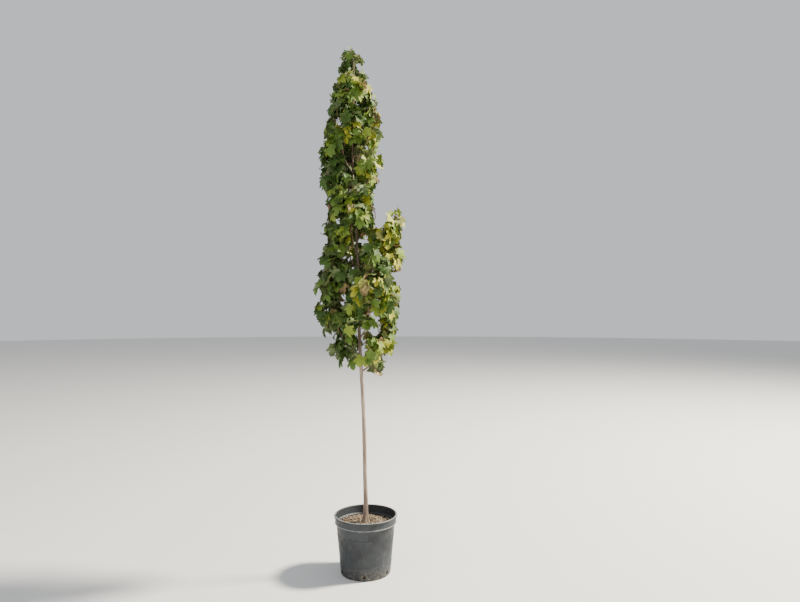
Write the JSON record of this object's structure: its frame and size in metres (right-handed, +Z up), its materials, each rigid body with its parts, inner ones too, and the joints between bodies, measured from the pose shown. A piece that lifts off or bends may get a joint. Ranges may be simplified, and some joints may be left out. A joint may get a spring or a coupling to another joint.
{
  "type": "young maple tree in a nursery pot",
  "caption": "Young maple with a slim straight trunk and a narrow leafy column of short boughs, standing in a round black nursery pot.",
  "frame": {"origin": "middle of the pot's flat underside, on the ground", "axes": "+Z up along the trunk, -Y towards the side that the picture shows, +X to its right"},
  "size_m": [0.6499, 0.6786, 3.7356],
  "materials": {
    "pot": "weathered black moulded polyethylene, satin",
    "potting_mix": "loose composted bark, dry on top",
    "trunk_bark": "smooth young bark with faint vertical streaks",
    "bough_bark": "thin brown bark",
    "foliage": "soft leaves with a dull waxy upper face"
  },
  "bodies": {
    "root": {"nursery_pot": "pot", "root_ball": "potting_mix", "trunk": "trunk_bark", "bough_01": "bough_bark", "bough_02": "bough_bark", "bough_03": "bough_bark", "bough_04": "bough_bark", "bough_05": "bough_bark", "bough_06": "bough_bark", "bough_07": "bough_bark", "bough_08": "bough_bark", "bough_09": "bough_bark", "bough_10": "bough_bark", "bough_11": "bough_bark", "bough_12": "bough_bark", "bough_13": "bough_bark", "bough_14": "bough_bark", "bough_15": "bough_bark", "bough_16": "bough_bark", "foliage_01": "foliage", "foliage_02": "foliage", "foliage_03": "foliage", "foliage_04": "foliage", "foliage_05": "foliage", "foliage_06": "foliage", "foliage_07": "foliage", "foliage_08": "foliage", "foliage_09": "foliage", "foliage_10": "foliage", "foliage_11": "foliage", "foliage_12": "foliage", "foliage_13": "foliage", "foliage_14": "foliage", "foliage_15": "foliage", "foliage_16": "foliage", "sprig_01": "foliage", "sprig_02": "foliage", "sprig_03": "foliage", "sprig_04": "foliage", "sprig_05": "foliage", "sprig_06": "foliage", "sprig_07": "foliage", "sprig_08": "foliage", "leader_foliage": "foliage"}
  },
  "joints": []
}
